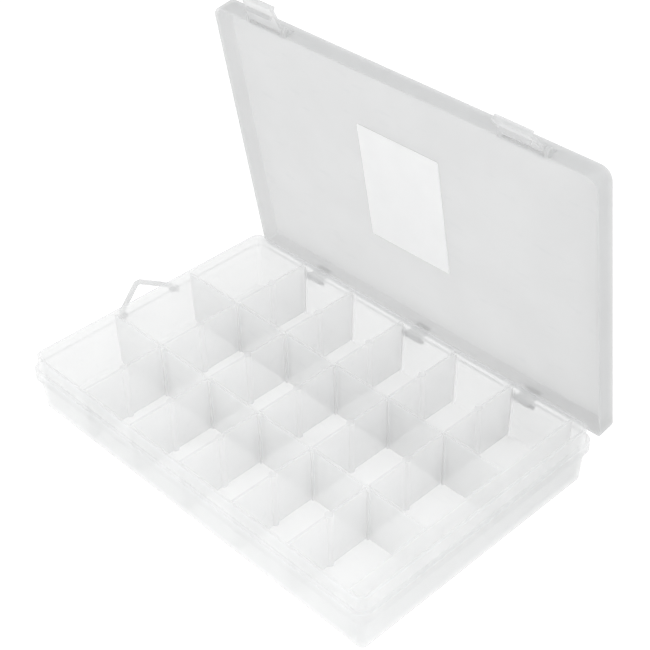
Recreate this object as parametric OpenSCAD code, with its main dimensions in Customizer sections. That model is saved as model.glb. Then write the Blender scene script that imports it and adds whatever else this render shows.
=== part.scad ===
// Embroidery thread box: a shallow frosted plastic tray with lift-out dividers,
// a hinged lid with two snap latches, a blank label and a swinging hang loop.
// Millimetres. Origin at the middle of the tray's underside, hinge side at +Y.

/* [Tray] */
// Length of the box along X, over the flange
body_w = 273; // [200:1:340]
// Depth of the box along Y, over the flange
body_d = 181.5; // [140:0.5:240]
// Height of the tray's rim
rim_h = 39.5; // [34:0.5:60]
// Height of the flange's upper face, where the lid sits
flange_top = 30.5; // [26:0.5:50]
// Height of the flange band
flange_h = 6.5; // [4:0.5:10]
// How far the neck above the flange is set in
neck_inset = 2.4; // [2.2:0.1:3]
// How far the wall under the flange is set in
under_inset = 2.6; // [2.2:0.1:3]
// How far the wall's foot is set in
bottom_inset = 4; // [3:0.1:4.2]
// Plan radius of the flange's corners
corner_r = 8; // [8:0.5:12]
// Radius along the tray's bottom edge
bottom_r = 3.5; // [2.5:0.1:3.8]
// Thickness of the tray's walls
wall = 1.8; // [1.4:0.1:2]
// Thickness of the tray's floor
floor_t = 1.8; // [1.4:0.1:2.2]

/* [Compartments] */
// Distance of the two long walls from the middle
row_y = 29.5; // [26:0.5:34]
// Position of the first cross divider
col_first = -88.3; // [-92:0.1:-84]
// Spacing of the cross dividers
col_pitch = 42.1; // [38:0.1:44]
// Distance of the end wall from the flange's right end
end_margin = 14.3; // [12:0.1:20]
// Number of compartments along the length
col_count = 6; // [6:1:6]
// Thickness of walls and dividers inside the tray
div_t = 1.6; // [1.2:0.1:2]
// Height of the tops of the inner walls
div_top = 38.3; // [30:0.1:39]
// Width and depth of the guide ribs beside each divider's ends
rib = 1.2; // [0.8:0.1:1.4]
// Clearance round a lift-out divider
div_gap = 0.3; // [0.25:0.05:0.4]
// Radius of the upright bead in the middle of a divider
bead_r = 2.4; // [1.6:0.1:3]

/* [Lid] */
// How far the lid is swung open
lid_open = 80.4; // [0:0.1:180]
// Inside set of the lid against the flange's outline
lid_inset = 0.4; // [0.3:0.05:0.5]
// Height of the closed lid's top face
lid_top = 43; // [42:0.5:64]
// Thickness of the lid
lid_t = 1.6; // [1.2:0.1:1.7]
// Gap between the lid's edge and the flange
seat_gap = 0.3; // [0.25:0.05:0.4]
// Plan radius of the lid's rear corners
lid_rear_r = 2.9; // [2.6:0.1:4]
// Radius along the lid's top edge
lid_edge_r = 2; // [1.2:0.1:2.2]

/* [Hinge] */
// Distance of the hinge axis behind the flange
hinge_back = 0.15; // [0.1:0.05:0.4]
// Height of the hinge axis
hinge_z = 26; // [26:0.1:26.4]
// Radius of the hinge knuckles
knuckle_r = 2; // [1.8:0.05:2]
// Radius of the moulded pins
pin_r = 1; // [0.8:0.05:1.1]
// Radial clearance of the pins
pin_gap = 0.05; // [0.03:0.01:0.08]
// Distance of the outer hinges from the flange's ends
hinge_x = 51.5; // [30:0.5:80]
// Rise of a knuckle's root above the lid's edge
knuckle_rise = 6.6; // [5:0.1:9]
// Height of a knuckle's back above the lid's edge
knuckle_back = 4; // [3:0.1:6]
// Width of a lid knuckle
knuckle_w = 10; // [6:0.5:16]
// Thickness of the ears beside a pivot
ear_t = 3; // [2:0.1:4]
// Side gap between ears and what turns between them
side_gap = 0.3; // [0.25:0.05:0.4]

/* [Latches] */
// Distance of the latches from the flange's ends
latch_x = 45.5; // [30:0.5:80]
// Width of a latch at its pivot
latch_w = 26; // [18:0.5:36]
// Width of a latch at its tip
latch_tip_w = 23; // [14:0.5:34]
// Length of a latch from pivot to tip
latch_l = 17; // [14:0.5:22]
// Thickness of a latch
latch_t = 1.8; // [1.4:0.1:2]
// Height of the latch pivots on the closed lid
latch_z = 33; // [32.8:0.1:36]
// Thickness of the lid's ears beside a latch
latch_ear_t = 2.4; // [2:0.1:3]
// Rise of the latch ears above the pivot
latch_ear_rise = 5.4; // [4:0.1:7]
// Radial allowance between a latch's barrel, its ears and the knuckles
latch_ease = 0.1; // [0.05:0.05:0.2]
// Clearance of a latch's plate from its pivot's plane
plate_gap = 0.05; // [0:0.05:0.2]
// Height of the hook
hook_h = 1.8; // [1.4:0.1:2.4]
// Reach of the hook under the flange
hook_reach = 2.2; // [1.6:0.1:2.6]
// Set-in of the hook's ends from the latch's sides
hook_side = 1.5; // [1:0.1:3]
// Height of the finger lip
lip_h = 1.8; // [1.4:0.1:2.4]
// Thickness of the finger lip
lip_t = 1.6; // [1.2:0.1:2.2]
// Reach of the finger lip in front of the pivot
lip_out = 1.1; // [0.8:0.1:1.8]
// Swing of the left latch from closed
latch_left_open = 75; // [0:1:175]
// Swing of the right latch from closed
latch_right_open = 60; // [0:1:175]

/* [Hang loop] */
// Tilt of the hang loop above level
loop_tilt = 48; // [-80:1:86]
// Reach of the hang loop from its pivot
loop_reach = 15.4; // [12:0.1:22]
// Half width of the hang loop at its foot
loop_half = 20.4; // [14:0.1:28]
// Width of the loop's bars
loop_bar = 3; // [2:0.1:4]
// Thickness of the loop's bars
loop_t = 2; // [1.4:0.1:2.4]
// Height of the loop's pivot
loop_z = 28; // [27:0.1:28.4]

/* [Label] */
// Width of the blank label
label_w = 61; // [40:1:90]
// Height of the blank label
label_h = 81; // [50:1:110]
// Sideways position of the label's middle
label_x = -9; // [-30:1:30]
// Distance of the label's near edge from the hinge side
label_u = 51; // [20:1:70]
// Thickness of the label
label_t = 0.3; // [0.2:0.05:0.5]

/* [Hidden] */
$fn = 48;
hx = body_w / 2;
hy = body_d / 2;
flange_bot = flange_top - flange_h;
foot_r = corner_r - bottom_inset;
under_r = corner_r - under_inset;
neck_r = corner_r - neck_inset;
in_foot = foot_r - wall;
in_rim = neck_r - wall;
in_edge = bottom_r - wall;
col_end = hx - end_margin;
hinge_at = hx - hinge_x;
latch_at = hx - latch_x;
div_bot = floor_t + div_gap;
lid_hx = hx - lid_inset;
lid_hy = hy - lid_inset;
lid_r = corner_r - lid_inset;
lid_low = flange_top + seat_gap;
axis_y = hy + hinge_back;
latch_y = -(lid_hy + knuckle_r + 0.65);
latch_hook_z = flange_bot - seat_gap - latch_z;
loop_x = -(hx + 2);
over = 0.5;

// Inner face of a tray wall at height z, half being half the box that way
function wall_in(half, z) = half - corner_r + in_foot
    + (in_rim - in_foot) * (z - floor_t) / (rim_h - floor_t);

// Area from x = 0 out to a leaning wall, with a rounded lower corner
module leaning_area(x_low, x_high, z_low, z_high, r) {
    lean = atan2(x_high - x_low, z_high - z_low);
    cx = x_low + (x_high - x_low) * r / (z_high - z_low) - r / cos(lean);
    cz = z_low + r;
    union() {
        polygon([[0, z_low], [cx, z_low], [cx, cz], [cx + r * cos(lean), cz - r * sin(lean)],
            [x_high, z_high], [0, z_high]]);
        intersection() {
            translate([cx, cz]) circle(r = r);
            polygon([[cx, cz], [cx, z_low - 1], [cx + 2 * r, z_low - 1],
                [cx + 2 * r * cos(lean), cz - 2 * r * sin(lean)]]);
        }
    }
}

// Section of the tray's wall, x from the corner centre outwards
module wall_section() {
    difference() {
        union() {
            leaning_area(foot_r, under_r, 0, flange_bot, bottom_r);
            translate([0, flange_bot]) square([corner_r, flange_h]);
            translate([0, flange_top]) square([neck_r, rim_h - flange_top]);
        }
        leaning_area(in_foot, in_rim, floor_t, rim_h, in_edge);
        translate([-1, floor_t]) square([1.01, rim_h]);
        translate([-1, rim_h - 0.01]) square([in_rim + 1, 1]);
    }
}

// Shape of an inner wall that spans the tray, its ends leaning as the tray's walls do and
// cut off at the foot to clear the rounded corner. With lean1 at 0 it stops upright at x1.
module inner_wall_shape(half, x1, lean1) {
    cut = in_edge + 0.2;
    low = wall_in(half, floor_t) - cut;
    mid = wall_in(half, floor_t + cut);
    high = wall_in(half, div_top);
    right = lean1 > 0
        ? [[low, floor_t], [mid, floor_t + cut], [high, div_top]]
        : [[x1, floor_t], [x1, div_top]];
    polygon(concat([[-high, div_top], [-mid, floor_t + cut], [-low, floor_t]], right));
}

// Run of a section along one side, the section's x pointing outwards
module run(length) {
    rotate([90, 0, 0]) linear_extrude(height = length, center = true) children();
}

// Plate whose shape is drawn in Y and Z, thickness along X
module across(thick) {
    rotate([90, 0, 90]) linear_extrude(height = thick, center = true) children();
}

module tray_shell() {
    cx = hx - corner_r;
    cy = hy - corner_r;
    union() {
        translate([-cx, -cy, 0]) cube([2 * cx, 2 * cy, floor_t]);
        for (s = [0, 180]) rotate([0, 0, s]) {
            translate([cx, 0, 0]) run(2 * cy) wall_section();
            translate([0, cy, 0]) rotate([0, 0, 90]) run(2 * cx) wall_section();
            translate([cx, cy, 0]) rotate_extrude(angle = 90) wall_section();
            translate([-cx, cy, 0]) rotate([0, 0, 90]) rotate_extrude(angle = 90) wall_section();
        }
    }
}

// Pair of guide ribs on the front or back wall beside one divider
module wall_ribs(x) {
    z1 = div_top - 1;
    for (s = [-1, 1]) translate([x + s * (div_t / 2 + div_gap + rib / 2), 0, 0]) across(rib)
        polygon([[wall_in(hy, floor_t) - rib, floor_t - over], [wall_in(hy, floor_t) + over, floor_t - over],
            [wall_in(hy, z1) + over, z1], [wall_in(hy, z1) - rib, z1]]);
}

// Pair of guide ribs on a long wall's face beside one divider
module face_ribs(x, y, side) {
    for (s = [-1, 1])
        translate([x + s * (div_t / 2 + div_gap + rib / 2) - rib / 2,
            side > 0 ? y + div_t / 2 : y - div_t / 2 - rib, floor_t])
            cube([rib, rib, div_top - 1 - floor_t]);
}

module tray_hinge_ears(x) {
    reach = knuckle_w / 2 + side_gap + ear_t / 2;
    for (s = [-1, 1]) translate([x + s * reach, 0, 0]) across(ear_t) union() {
        translate([axis_y, hinge_z]) circle(r = knuckle_r);
        translate([hy - over, hinge_z - knuckle_r]) square([over + hinge_back, 2 * knuckle_r]);
    }
}

// Cut-out in the flange that a lid knuckle turns in
module hinge_notch(x) {
    cut = knuckle_w + 2 * side_gap;
    translate([x - cut / 2, hy - under_inset, flange_bot - 1]) cube([cut, under_inset + 1, flange_h + 1]);
}

module loop_ears() {
    reach = loop_half + side_gap + 1;
    for (s = [-1, 1]) translate([0, s * reach, 0])
        rotate([90, 0, 0]) linear_extrude(height = 2, center = true) union() {
            translate([loop_x, loop_z]) circle(r = 1.9);
            polygon([[-hx + over, loop_z - 2.4], [loop_x - 0.4, loop_z - 1.8],
                [loop_x - 0.4, loop_z + 1.8], [-hx + over, loop_z + 2.2]]);
        }
}

module tray() {
    color([0.93, 0.94, 0.94, 0.55]) difference() {
        union() {
            tray_shell();
            for (k = [0 : col_count - 2]) for (m = [0, 1]) mirror([0, m, 0])
                wall_ribs(col_first + k * col_pitch);
            for (x = [-hinge_at, 0, hinge_at]) tray_hinge_ears(x);
            loop_ears();
        }
        for (x = [-hinge_at, 0, hinge_at]) hinge_notch(x);
        translate([-hx, axis_y, hinge_z]) rotate([0, 90, 0])
            cylinder(r = pin_r + pin_gap, h = body_w);
        translate([loop_x, -hy, loop_z]) rotate([-90, 0, 0])
            cylinder(r = 0.9 + pin_gap, h = body_d);
    }
}

module row_wall(y) {
    color([0.93, 0.94, 0.94, 0.5]) union() {
        translate([0, y, 0]) run(div_t) inner_wall_shape(hx, col_end - div_t / 2, 0);
        for (k = [0 : col_count - 2]) for (side = [-1, 1])
            face_ribs(col_first + k * col_pitch, y, side);
    }
}

module row_wall_back() {
    row_wall(row_y);
}

module row_wall_front() {
    row_wall(-row_y);
}

module end_wall() {
    color([0.93, 0.94, 0.94, 0.5]) translate([col_end, 0, 0]) across(div_t)
        inner_wall_shape(hy, 0, 1);
}

// Lift-out divider between a long wall and the back or front wall
module outer_divider(k, m) {
    y0 = row_y + div_t / 2 + div_gap;
    corner = 2;
    mid = (y0 + wall_in(hy, div_bot)) / 2;
    color([0.94, 0.95, 0.95, 0.5]) mirror([0, m, 0]) translate([col_first + k * col_pitch, 0, 0]) union() {
        across(div_t) polygon([[y0, div_bot], [wall_in(hy, div_bot) - div_gap - corner, div_bot],
            [wall_in(hy, div_bot + corner) - div_gap, div_bot + corner],
            [wall_in(hy, div_top) - div_gap, div_top], [y0, div_top]]);
        translate([0, mid, div_bot]) cylinder(r = bead_r, h = div_top - div_bot);
    }
}

// Lift-out divider between the two long walls
module middle_divider(k) {
    len = 2 * (row_y - div_t / 2 - div_gap);
    color([0.94, 0.95, 0.95, 0.5]) translate([col_first + k * col_pitch, 0, div_bot]) union() {
        translate([-div_t / 2, -len / 2, 0]) cube([div_t, len, div_top - div_bot]);
        cylinder(r = bead_r, h = div_top - div_bot);
    }
}

module divider_back_1() {
    outer_divider(0, 0);
}

module divider_back_2() {
    outer_divider(1, 0);
}

module divider_back_3() {
    outer_divider(2, 0);
}

module divider_back_4() {
    outer_divider(3, 0);
}

module divider_back_5() {
    outer_divider(4, 0);
}

module divider_middle_1() {
    middle_divider(0);
}

module divider_middle_2() {
    middle_divider(1);
}

module divider_middle_3() {
    middle_divider(2);
}

module divider_middle_4() {
    middle_divider(3);
}

module divider_middle_5() {
    middle_divider(4);
}

module divider_front_1() {
    outer_divider(0, 1);
}

module divider_front_2() {
    outer_divider(1, 1);
}

module divider_front_3() {
    outer_divider(2, 1);
}

module divider_front_4() {
    outer_divider(3, 1);
}

module divider_front_5() {
    outer_divider(4, 1);
}

// Puts what is drawn on the closed lid where the open lid carries it
module on_lid() {
    translate([0, axis_y, hinge_z]) rotate([-lid_open, 0, 0])
        translate([0, -axis_y, -hinge_z]) children();
}

// Solid section from the corner centre out to x = r, with a rounded upper corner
module lid_area(r, z_low, z_high, edge) {
    union() {
        translate([0, z_low]) square([r, z_high - edge - z_low]);
        translate([0, z_low]) square([r - edge, z_high - z_low]);
        translate([r - edge, z_high - edge]) intersection() {
            circle(r = edge);
            square(edge + 1);
        }
    }
}

module lid_section(r) {
    difference() {
        lid_area(r, lid_low, lid_top, lid_edge_r);
        lid_area(r - lid_t, lid_low - 1, lid_top - lid_t, lid_edge_r - 1.2);
        translate([-1, lid_low - 1]) square([1.01, lid_top - lid_t - lid_low + 1]);
    }
}

module lid_shell() {
    fx = lid_hx - lid_r;
    bx = lid_hx - lid_rear_r;
    fy = lid_hy - lid_r;
    by = lid_hy - lid_rear_r;
    union() {
        translate([-fx, -fy, lid_top - lid_t]) cube([2 * fx, fy + by, lid_t]);
        translate([0, -fy, 0]) rotate([0, 0, -90]) run(2 * fx) lid_section(lid_r);
        translate([0, by, 0]) rotate([0, 0, 90]) run(2 * bx) lid_section(lid_rear_r);
        for (m = [0, 1]) mirror([m, 0, 0]) {
            translate([fx, (by - fy) / 2, 0]) run(by + fy) lid_section(lid_r);
            translate([fx, -fy, 0]) rotate([0, 0, -90]) rotate_extrude(angle = 90) lid_section(lid_r);
            translate([bx, by, 0]) rotate_extrude(angle = 90) lid_section(lid_rear_r);
        }
    }
}

// Lid knuckle with its two stub pins
module lid_knuckle(x) {
    pin_l = knuckle_w + 2 * (side_gap + ear_t);
    translate([x, 0, 0]) across(knuckle_w) union() {
        translate([axis_y, hinge_z]) circle(r = knuckle_r);
        polygon([[lid_hy - over, lid_low + 0.3], [axis_y - knuckle_r + 0.1, hinge_z + 0.4],
            [axis_y, hinge_z], [axis_y + knuckle_r, hinge_z],
            [axis_y + knuckle_r - 0.7, lid_low + knuckle_back], [lid_hy - over, lid_low + knuckle_rise]]);
    }
    translate([x - pin_l / 2, axis_y, hinge_z]) rotate([0, 90, 0]) cylinder(r = pin_r, h = pin_l);
}

module latch_ears(x) {
    reach = latch_w / 2 + side_gap + latch_ear_t / 2;
    for (s = [-1, 1]) translate([x + s * reach, 0, 0]) across(latch_ear_t) union() {
        translate([latch_y, latch_z]) circle(r = knuckle_r + latch_ease);
        polygon([[-lid_hy + over, latch_z - knuckle_r - latch_ease], [latch_y, latch_z - knuckle_r - latch_ease],
            [latch_y, latch_z + knuckle_r + latch_ease], [-lid_hy + over, latch_z + latch_ear_rise]]);
    }
}

module lid() {
    color([0.88, 0.89, 0.89, 0.55]) on_lid() difference() {
        union() {
            lid_shell();
            for (x = [-hinge_at, 0, hinge_at]) lid_knuckle(x);
            for (x = [-latch_at, latch_at]) latch_ears(x);
        }
        translate([-hx, latch_y, latch_z]) rotate([0, 90, 0])
            cylinder(r = pin_r + pin_gap, h = body_w);
    }
}

// Latch hanging closed with its pivot at the origin, wall side at +Y
module latch_shape() {
    pin_l = latch_w + 2 * (side_gap + latch_ear_t);
    union() {
        translate([-latch_w / 2, 0, 0]) rotate([0, 90, 0]) cylinder(r = knuckle_r - latch_ease, h = latch_w);
        translate([-pin_l / 2, 0, 0]) rotate([0, 90, 0]) cylinder(r = pin_r, h = pin_l);
        translate([0, latch_t + plate_gap, 0]) rotate([90, 0, 0]) linear_extrude(height = latch_t)
            polygon([[-latch_w / 2, 0], [latch_w / 2, 0], [latch_tip_w / 2, -latch_l],
                [-latch_tip_w / 2, -latch_l]]);
        translate([-latch_tip_w / 2 + hook_side, latch_t, latch_hook_z - hook_h])
            cube([latch_tip_w - 2 * hook_side, hook_reach, hook_h]);
        translate([-latch_tip_w / 2, -lip_out, -latch_l]) cube([latch_tip_w, lip_t, lip_h]);
    }
}

module latch(x, swing) {
    color([0.93, 0.94, 0.94, 0.6]) on_lid() translate([x, latch_y, latch_z])
        rotate([-swing, 0, 0]) latch_shape();
}

module latch_left() {
    latch(-latch_at, latch_left_open);
}

module latch_right() {
    latch(latch_at, latch_right_open);
}

module lid_label() {
    color([0.97, 0.97, 0.96]) on_lid()
        translate([label_x - label_w / 2, lid_hy - label_u - label_h, lid_top - lid_t - label_t])
            cube([label_w, label_h, label_t]);
}

module hang_loop() {
    slope = atan2(loop_reach - 4, loop_half - 1.75);
    drop = loop_bar / cos(slope);
    in_half = loop_half - loop_bar;
    in_low = loop_reach - drop - (in_half - 1.75) * tan(slope);
    in_high = loop_reach - drop + 0.75 * tan(slope);
    color([0.93, 0.94, 0.94, 0.6]) translate([loop_x, 0, loop_z]) rotate([0, loop_tilt, 0]) union() {
        rotate([0, 0, 90]) translate([0, 0, -loop_t / 2]) linear_extrude(height = loop_t)
            polygon([[-loop_half, 0], [-loop_half, 4], [-1.75, loop_reach], [1.75, loop_reach],
                [loop_half, 4], [loop_half, 0], [in_half, 0], [in_half, in_low], [1, in_high],
                [-1, in_high], [-in_half, in_low], [-in_half, 0]]);
        for (m = [0, 1]) mirror([0, m, 0]) translate([0, in_half, 0]) rotate([-90, 0, 0]) {
            cylinder(r = 1.7, h = loop_bar);
            cylinder(r = 0.9, h = loop_bar + side_gap + 2);
        }
    }
}

tray();
row_wall_back();
row_wall_front();
end_wall();
divider_back_1();
divider_back_2();
divider_back_3();
divider_back_4();
divider_back_5();
divider_middle_1();
divider_middle_2();
divider_middle_3();
divider_middle_4();
divider_middle_5();
divider_front_1();
divider_front_2();
divider_front_3();
divider_front_4();
divider_front_5();
lid();
latch_left();
latch_right();
lid_label();
hang_loop();
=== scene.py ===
"""Frosted plastic box for embroidery thread, standing open in a white studio.

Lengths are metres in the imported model's frame: X runs along the box, Y towards
the hinge and Z up, with the tray's underside on z = 0.
"""

import logging
import math
from collections.abc import Sequence
from dataclasses import dataclass
from enum import Enum

import bmesh
import bpy
from bmesh.types import BMEdge, BMesh, BMFace, BMVert
from bpy.types import Material, NodeOutputs, NodeSocket, World
from mathutils import Matrix, Vector


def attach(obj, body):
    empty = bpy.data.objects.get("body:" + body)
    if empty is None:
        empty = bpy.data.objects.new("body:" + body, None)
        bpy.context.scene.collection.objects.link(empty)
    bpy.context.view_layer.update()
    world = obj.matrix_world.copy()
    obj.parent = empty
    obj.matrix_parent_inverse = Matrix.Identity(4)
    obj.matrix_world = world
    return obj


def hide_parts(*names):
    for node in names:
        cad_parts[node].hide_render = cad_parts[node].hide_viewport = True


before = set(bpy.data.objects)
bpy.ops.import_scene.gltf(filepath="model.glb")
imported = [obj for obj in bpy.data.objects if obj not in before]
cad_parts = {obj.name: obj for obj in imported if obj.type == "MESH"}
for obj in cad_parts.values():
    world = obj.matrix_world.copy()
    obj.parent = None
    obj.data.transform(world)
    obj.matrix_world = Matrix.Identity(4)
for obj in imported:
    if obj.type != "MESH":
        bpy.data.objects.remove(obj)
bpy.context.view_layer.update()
WHITE = (1.0, 1.0, 1.0, 1.0)
MM = 0.001
SAME_POINT = 1e-7  # Points closer than this are one point.
NEAR = 1e-6  # Slack for telling whether a point lies on a plane or at a height.
FLAT = math.radians(0.5)  # Faces that meet at less than this are one flat face.
SHARP = math.radians(50.0)  # Edges sharper than this stay sharp in the shading.
SHEET_EDGE = 0.22 * MM  # Rounding of the thin upright sheets' edges.
ROOT = 0.4 * MM  # How deep ears and arms are sunk into the wall that carries them.
# 2D x and y become Y and Z, and the height runs along X.
ACROSS = Matrix(((0, 0, 1, 0), (1, 0, 0, 0), (0, 1, 0, 0), (0, 0, 0, 1)))
# 2D x and y become X and Z, and the height runs along -Y.
ALONG_Y = Matrix(((1, 0, 0, 0), (0, 0, -1, 0), (0, 1, 0, 0), (0, 0, 0, 1)))
# A rod made along Z runs along X.
ALONG_X = Matrix.Rotation(math.pi / 2, 4, "Y")

Mark = tuple[float, str]
Pair = tuple[float, float]
Triple = tuple[float, float, float]

log = logging.getLogger("thread_box")


class Row(Enum):
    """Rows of compartments, named by their place in the tray."""

    BACK = "back"
    MIDDLE = "middle"
    FRONT = "front"


class Side(Enum):
    """Left or right as seen from the front; the value is the sign of X."""

    LEFT = -1
    RIGHT = 1


# Drawing and sweeping.


class Pen:
    """Draws an outline in a new mesh's XY plane from straight lines and spun arcs."""

    def __init__(self, x: float, y: float) -> None:
        """Puts the pen down."""
        self.bm = bmesh.new()
        self.first = self.bm.verts.new((x, y, 0.0))
        self.tip = self.first

    def line(self, x: float, y: float) -> "Pen":
        """Draws a straight line from the tip to a point."""
        grown = bmesh.ops.extrude_vert_indiv(self.bm, verts=[self.tip])
        self.tip = grown["verts"][0]
        self.tip.co = (x, y, 0.0)
        return self

    def arc(self, x: float, y: float, turn: float, steps: int) -> "Pen":
        """Draws an arc round a centre; the turn is in degrees, anticlockwise when positive."""
        swung = bmesh.ops.spin(
            self.bm,
            geom=[self.tip],
            cent=(x, y, 0.0),
            axis=(0.0, 0.0, 1.0),
            angle=math.radians(turn),
            steps=steps,
            use_duplicate=False,
        )
        self.tip = next(g for g in swung["geom_last"] if isinstance(g, BMVert))
        return self

    def close(self) -> BMesh:
        """Joins the tip to the start and hands over the mesh."""
        if (self.tip.co - self.first.co).length > SAME_POINT:
            self.bm.edges.new((self.tip, self.first))
        bmesh.ops.remove_doubles(self.bm, verts=self.bm.verts[:], dist=SAME_POINT)
        return self.bm


def move(bm: BMesh, place: Matrix) -> None:
    """Moves a whole mesh."""
    bmesh.ops.transform(bm, matrix=place, verts=bm.verts[:])


def merge_into(target: BMesh, part: BMesh, place: Matrix) -> None:
    """Moves a part to its place, adds it to another mesh and frees it."""
    move(part, place)
    carrier = bpy.data.meshes.new("carrier")
    part.to_mesh(carrier)
    part.free()
    target.from_mesh(carrier)
    bpy.data.meshes.remove(carrier)


def extrude_up(bm: BMesh, faces: Sequence[BMFace], height: float) -> None:
    """Extrudes faces along Z and turns all the normals outward."""
    grown = bmesh.ops.extrude_face_region(bm, geom=faces)
    lifted = [g for g in grown["geom"] if isinstance(g, BMVert)]
    bmesh.ops.translate(bm, verts=lifted, vec=(0.0, 0.0, height))
    bmesh.ops.recalc_face_normals(bm, faces=bm.faces[:])


def raise_outline(bm: BMesh, height: float, foot: float = 0.0) -> None:
    """Fills the outlines in a mesh, holes left open, and extrudes them from the foot's level."""
    loops = [e for e in bm.edges if not e.link_faces]
    closed = bmesh.ops.triangle_fill(bm, use_beauty=True, edges=loops)
    extrude_up(bm, [g for g in closed["geom"] if isinstance(g, BMFace)], height)
    bmesh.ops.translate(bm, verts=bm.verts[:], vec=(0.0, 0.0, foot))


def cut_edges(
    bm: BMesh, edges: Sequence[BMEdge], width: float, segments: int, clamp: bool = False
) -> None:
    """Bevels some edges; one segment gives a flat cut."""
    bmesh.ops.bevel(
        bm,
        geom=edges,
        offset=width,
        affect="EDGES",
        segments=segments,
        profile=0.5,
        clamp_overlap=clamp,
        material=-1,
    )


def soften(bm: BMesh, width: float, angle: float = 35.0, segments: int = 2) -> None:
    """Rounds every edge whose faces meet at more than an angle in degrees."""
    least = math.radians(angle)
    flat = [e for e in bm.edges if len(e.link_faces) == 2 and e.calc_face_angle(0.0) < FLAT]
    bmesh.ops.dissolve_edges(bm, edges=flat, use_verts=False)
    edges = [e for e in bm.edges if len(e.link_faces) == 2 and e.calc_face_angle(0.0) > least]
    cut_edges(bm, edges, width, segments, clamp=True)


def bored_ear(
    root: float, heights: Pair, pivot: Pair, radius: float, bore: float, thick: float
) -> BMesh:
    """Makes an ear with a bore, its thickness along Z.

    The outline leaves the wall that carries the ear at x = root and the first height, goes
    half round the pivot and comes back to the second height.
    """
    x, y = pivot
    side = 1 if root > x else -1
    pen = Pen(root, heights[0]).line(x, y + side * radius).arc(x, y, 180.0, 12)
    bm = pen.line(root, heights[1]).close()
    bmesh.ops.create_circle(bm, radius=bore, segments=20, matrix=Matrix.Translation((x, y, 0.0)))
    raise_outline(bm, thick)
    soften(bm, 0.2 * MM, 50.0)
    return bm


def rod(radius: float, length: float) -> BMesh:
    """Makes a rod along Z that starts at the origin, its ends rounded off."""
    bm = bmesh.new()
    bmesh.ops.create_circle(bm, cap_ends=True, radius=radius, segments=24)
    extrude_up(bm, bm.faces[:], length)
    ends = [e for e in bm.edges if e.calc_face_angle(0.0) > math.radians(60.0)]
    cut_edges(bm, ends, radius * 0.18, 2)
    return bm


class Sweep:
    """Carries an open wall section round the sides of a box."""

    def __init__(self, section: BMesh, start: Vector, outward: Vector) -> None:
        """Stands a drawn section up, its x measured from the start along a unit vector."""
        self.bm = section
        self.outward = outward
        self.edges = section.edges[:]
        self.shape: list[Pair] = []
        ordered = self.chain()
        self.shape = [(v.co.x, v.co.y) for v in ordered]
        for vert, (out, up) in zip(ordered, self.shape):
            vert.co = start + outward * out + Vector((0.0, 0.0, up))

    def chain(self) -> list[BMVert]:
        """Puts the section's vertices in order from its inner end."""
        links: dict[BMVert, list[BMVert]] = {}
        for edge in self.edges:
            a, b = edge.verts
            links.setdefault(a, []).append(b)
            links.setdefault(b, []).append(a)
        ends = [v for v, near in links.items() if len(near) == 1]
        if self.shape:
            ends.sort(key=lambda v: abs(v.co.z - self.shape[0][1]))
        else:
            ends.sort(key=lambda v: v.index)
        order = [ends[0]]
        while len(order) < len(links):
            order.append(next(v for v in links[order[-1]] if v not in order[-2:]))
        return order

    def station(self, base: Vector, outs: Sequence[float]) -> None:
        """Extrudes the section to a place, its points at their outward distances from the base."""
        grown = bmesh.ops.extrude_edge_only(self.bm, edges=self.edges)
        fresh = {g for g in grown["geom"] if isinstance(g, BMVert)}
        self.edges = [
            g
            for g in grown["geom"]
            if isinstance(g, BMEdge) and g.verts[0] in fresh and g.verts[1] in fresh
        ]
        for vert, out, (_, up) in zip(self.chain(), outs, self.shape):
            vert.co = base + self.outward * out + Vector((0.0, 0.0, up))

    def turn(self, centre: Vector, steps: int) -> None:
        """Turns the section a quarter round a corner's centre."""
        geom = list({v for e in self.edges for v in e.verts}) + self.edges
        swung = bmesh.ops.spin(
            self.bm,
            geom=geom,
            cent=centre,
            axis=(0.0, 0.0, 1.0),
            angle=math.pi / 2,
            steps=steps,
            use_duplicate=False,
        )
        self.edges = [g for g in swung["geom_last"] if isinstance(g, BMEdge)]
        self.outward = Matrix.Rotation(math.pi / 2, 3, "Z") @ self.outward

    def finish(self) -> BMesh:
        """Closes the ring and fills the flat faces inside it."""
        bmesh.ops.remove_doubles(self.bm, verts=self.bm.verts[:], dist=2 * NEAR)
        rims = [e for e in self.bm.edges if e.is_boundary]
        bmesh.ops.holes_fill(self.bm, edges=rims, sides=0)
        bmesh.ops.recalc_face_normals(self.bm, faces=self.bm.faces[:])
        return self.bm


# Finishes.


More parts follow.
